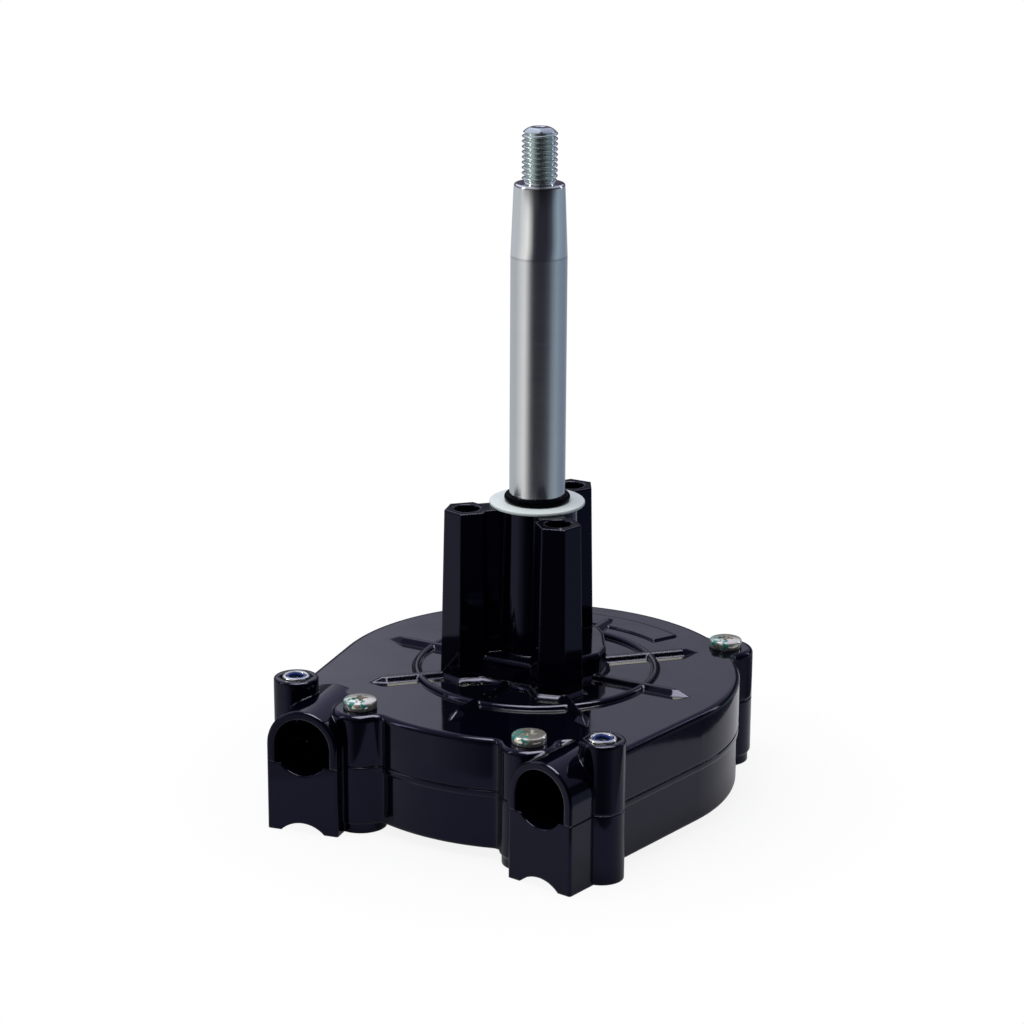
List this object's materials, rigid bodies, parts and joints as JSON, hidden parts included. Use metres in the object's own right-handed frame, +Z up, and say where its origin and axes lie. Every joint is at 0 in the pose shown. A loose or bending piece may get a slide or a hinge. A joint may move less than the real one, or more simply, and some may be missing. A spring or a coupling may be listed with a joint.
{
  "type": "rotary steering helm",
  "caption": "Rotary cable-steering helm for a boat: round geared housing with two cable ports and a tapered, threaded steering-wheel shaft.",
  "frame": {"origin": "on the shaft axis, in the plane the housing stands on, at the middle of the round bearing boss under the base", "axes": "+Z up along the steering shaft, -Y towards the two cable ports, +X to the right seen from behind the ports"},
  "size_m": [0.1412, 0.1524, 0.2306],
  "materials": {
    "housing": "moulded black, glossy",
    "shaft_steel": "ground steel",
    "gear_steel": "machined steel, oiled",
    "wheel_alloy": "cast alloy",
    "zinc_steel": "bright zinc plate",
    "screw_nickel": "nickel plate",
    "bush_bronze": "sintered bronze",
    "white_nylon": "plain nylon",
    "blue_nylon": "dark blue nylon",
    "seal_rubber": "black rubber"
  },
  "bodies": {
    "housing": {"lower_housing": "housing", "upper_housing": "housing", "ring_gear": "gear_steel", "lower_bush": "bush_bronze", "tower_bush_upper": "bush_bronze", "tower_bush_lower": "bush_bronze", "wheel_thrust_washer": "zinc_steel", "nylon_washer": "white_nylon", "housing_screw_rear_right": "screw_nickel", "housing_screw_rear_left": "screw_nickel", "housing_screw_front_left": "screw_nickel", "housing_screw_front_right": "screw_nickel", "lock_nut_left": "zinc_steel", "lock_nut_right": "zinc_steel", "lock_nut_insert_left": "blue_nylon", "lock_nut_insert_right": "blue_nylon"},
    "shaft": {"steering_shaft": "shaft_steel", "wheel_key": "shaft_steel", "sun_gear_key": "gear_steel", "sun_gear": "gear_steel", "sun_thrust_washer": "zinc_steel", "shaft_circlip": "gear_steel", "shaft_o_ring": "seal_rubber"},
    "cable_wheel": {"cable_wheel": "wheel_alloy", "carrier_plate": "zinc_steel", "planet_pin_1": "shaft_steel", "planet_pin_2": "shaft_steel", "planet_pin_3": "shaft_steel"},
    "planet_1": {"planet_gear_1": "gear_steel"},
    "planet_2": {"planet_gear_2": "gear_steel"},
    "planet_3": {"planet_gear_3": "gear_steel"}
  },
  "joints": [
    {"name": "shaft_spin", "type": "hinge", "parent": "housing", "child": "shaft", "pos_m": [0, 0, 0.1], "axis": [0, 0, 1], "continuous": true},
    {"name": "cable_wheel_spin", "type": "hinge", "parent": "housing", "child": "cable_wheel", "pos_m": [0, 0, 0.0303], "axis": [0, 0, 1], "continuous": true},
    {"name": "planet_1_spin", "type": "hinge", "parent": "cable_wheel", "child": "planet_1", "pos_m": [0, 0.0375, 0.0168], "axis": [0, 0, 1], "continuous": true},
    {"name": "planet_2_spin", "type": "hinge", "parent": "cable_wheel", "child": "planet_2", "pos_m": [-0.03248, -0.01875, 0.0168], "axis": [0, 0, 1], "continuous": true},
    {"name": "planet_3_spin", "type": "hinge", "parent": "cable_wheel", "child": "planet_3", "pos_m": [0.03248, -0.01875, 0.0168], "axis": [0, 0, 1], "continuous": true}
  ],
  "couplings": [
    {"joint": "cable_wheel_spin", "follows": "shaft_spin", "ratio": 0.25},
    {"joint": "planet_1_spin", "follows": "shaft_spin", "ratio": -0.75},
    {"joint": "planet_2_spin", "follows": "shaft_spin", "ratio": -0.75},
    {"joint": "planet_3_spin", "follows": "shaft_spin", "ratio": -0.75}
  ]
}
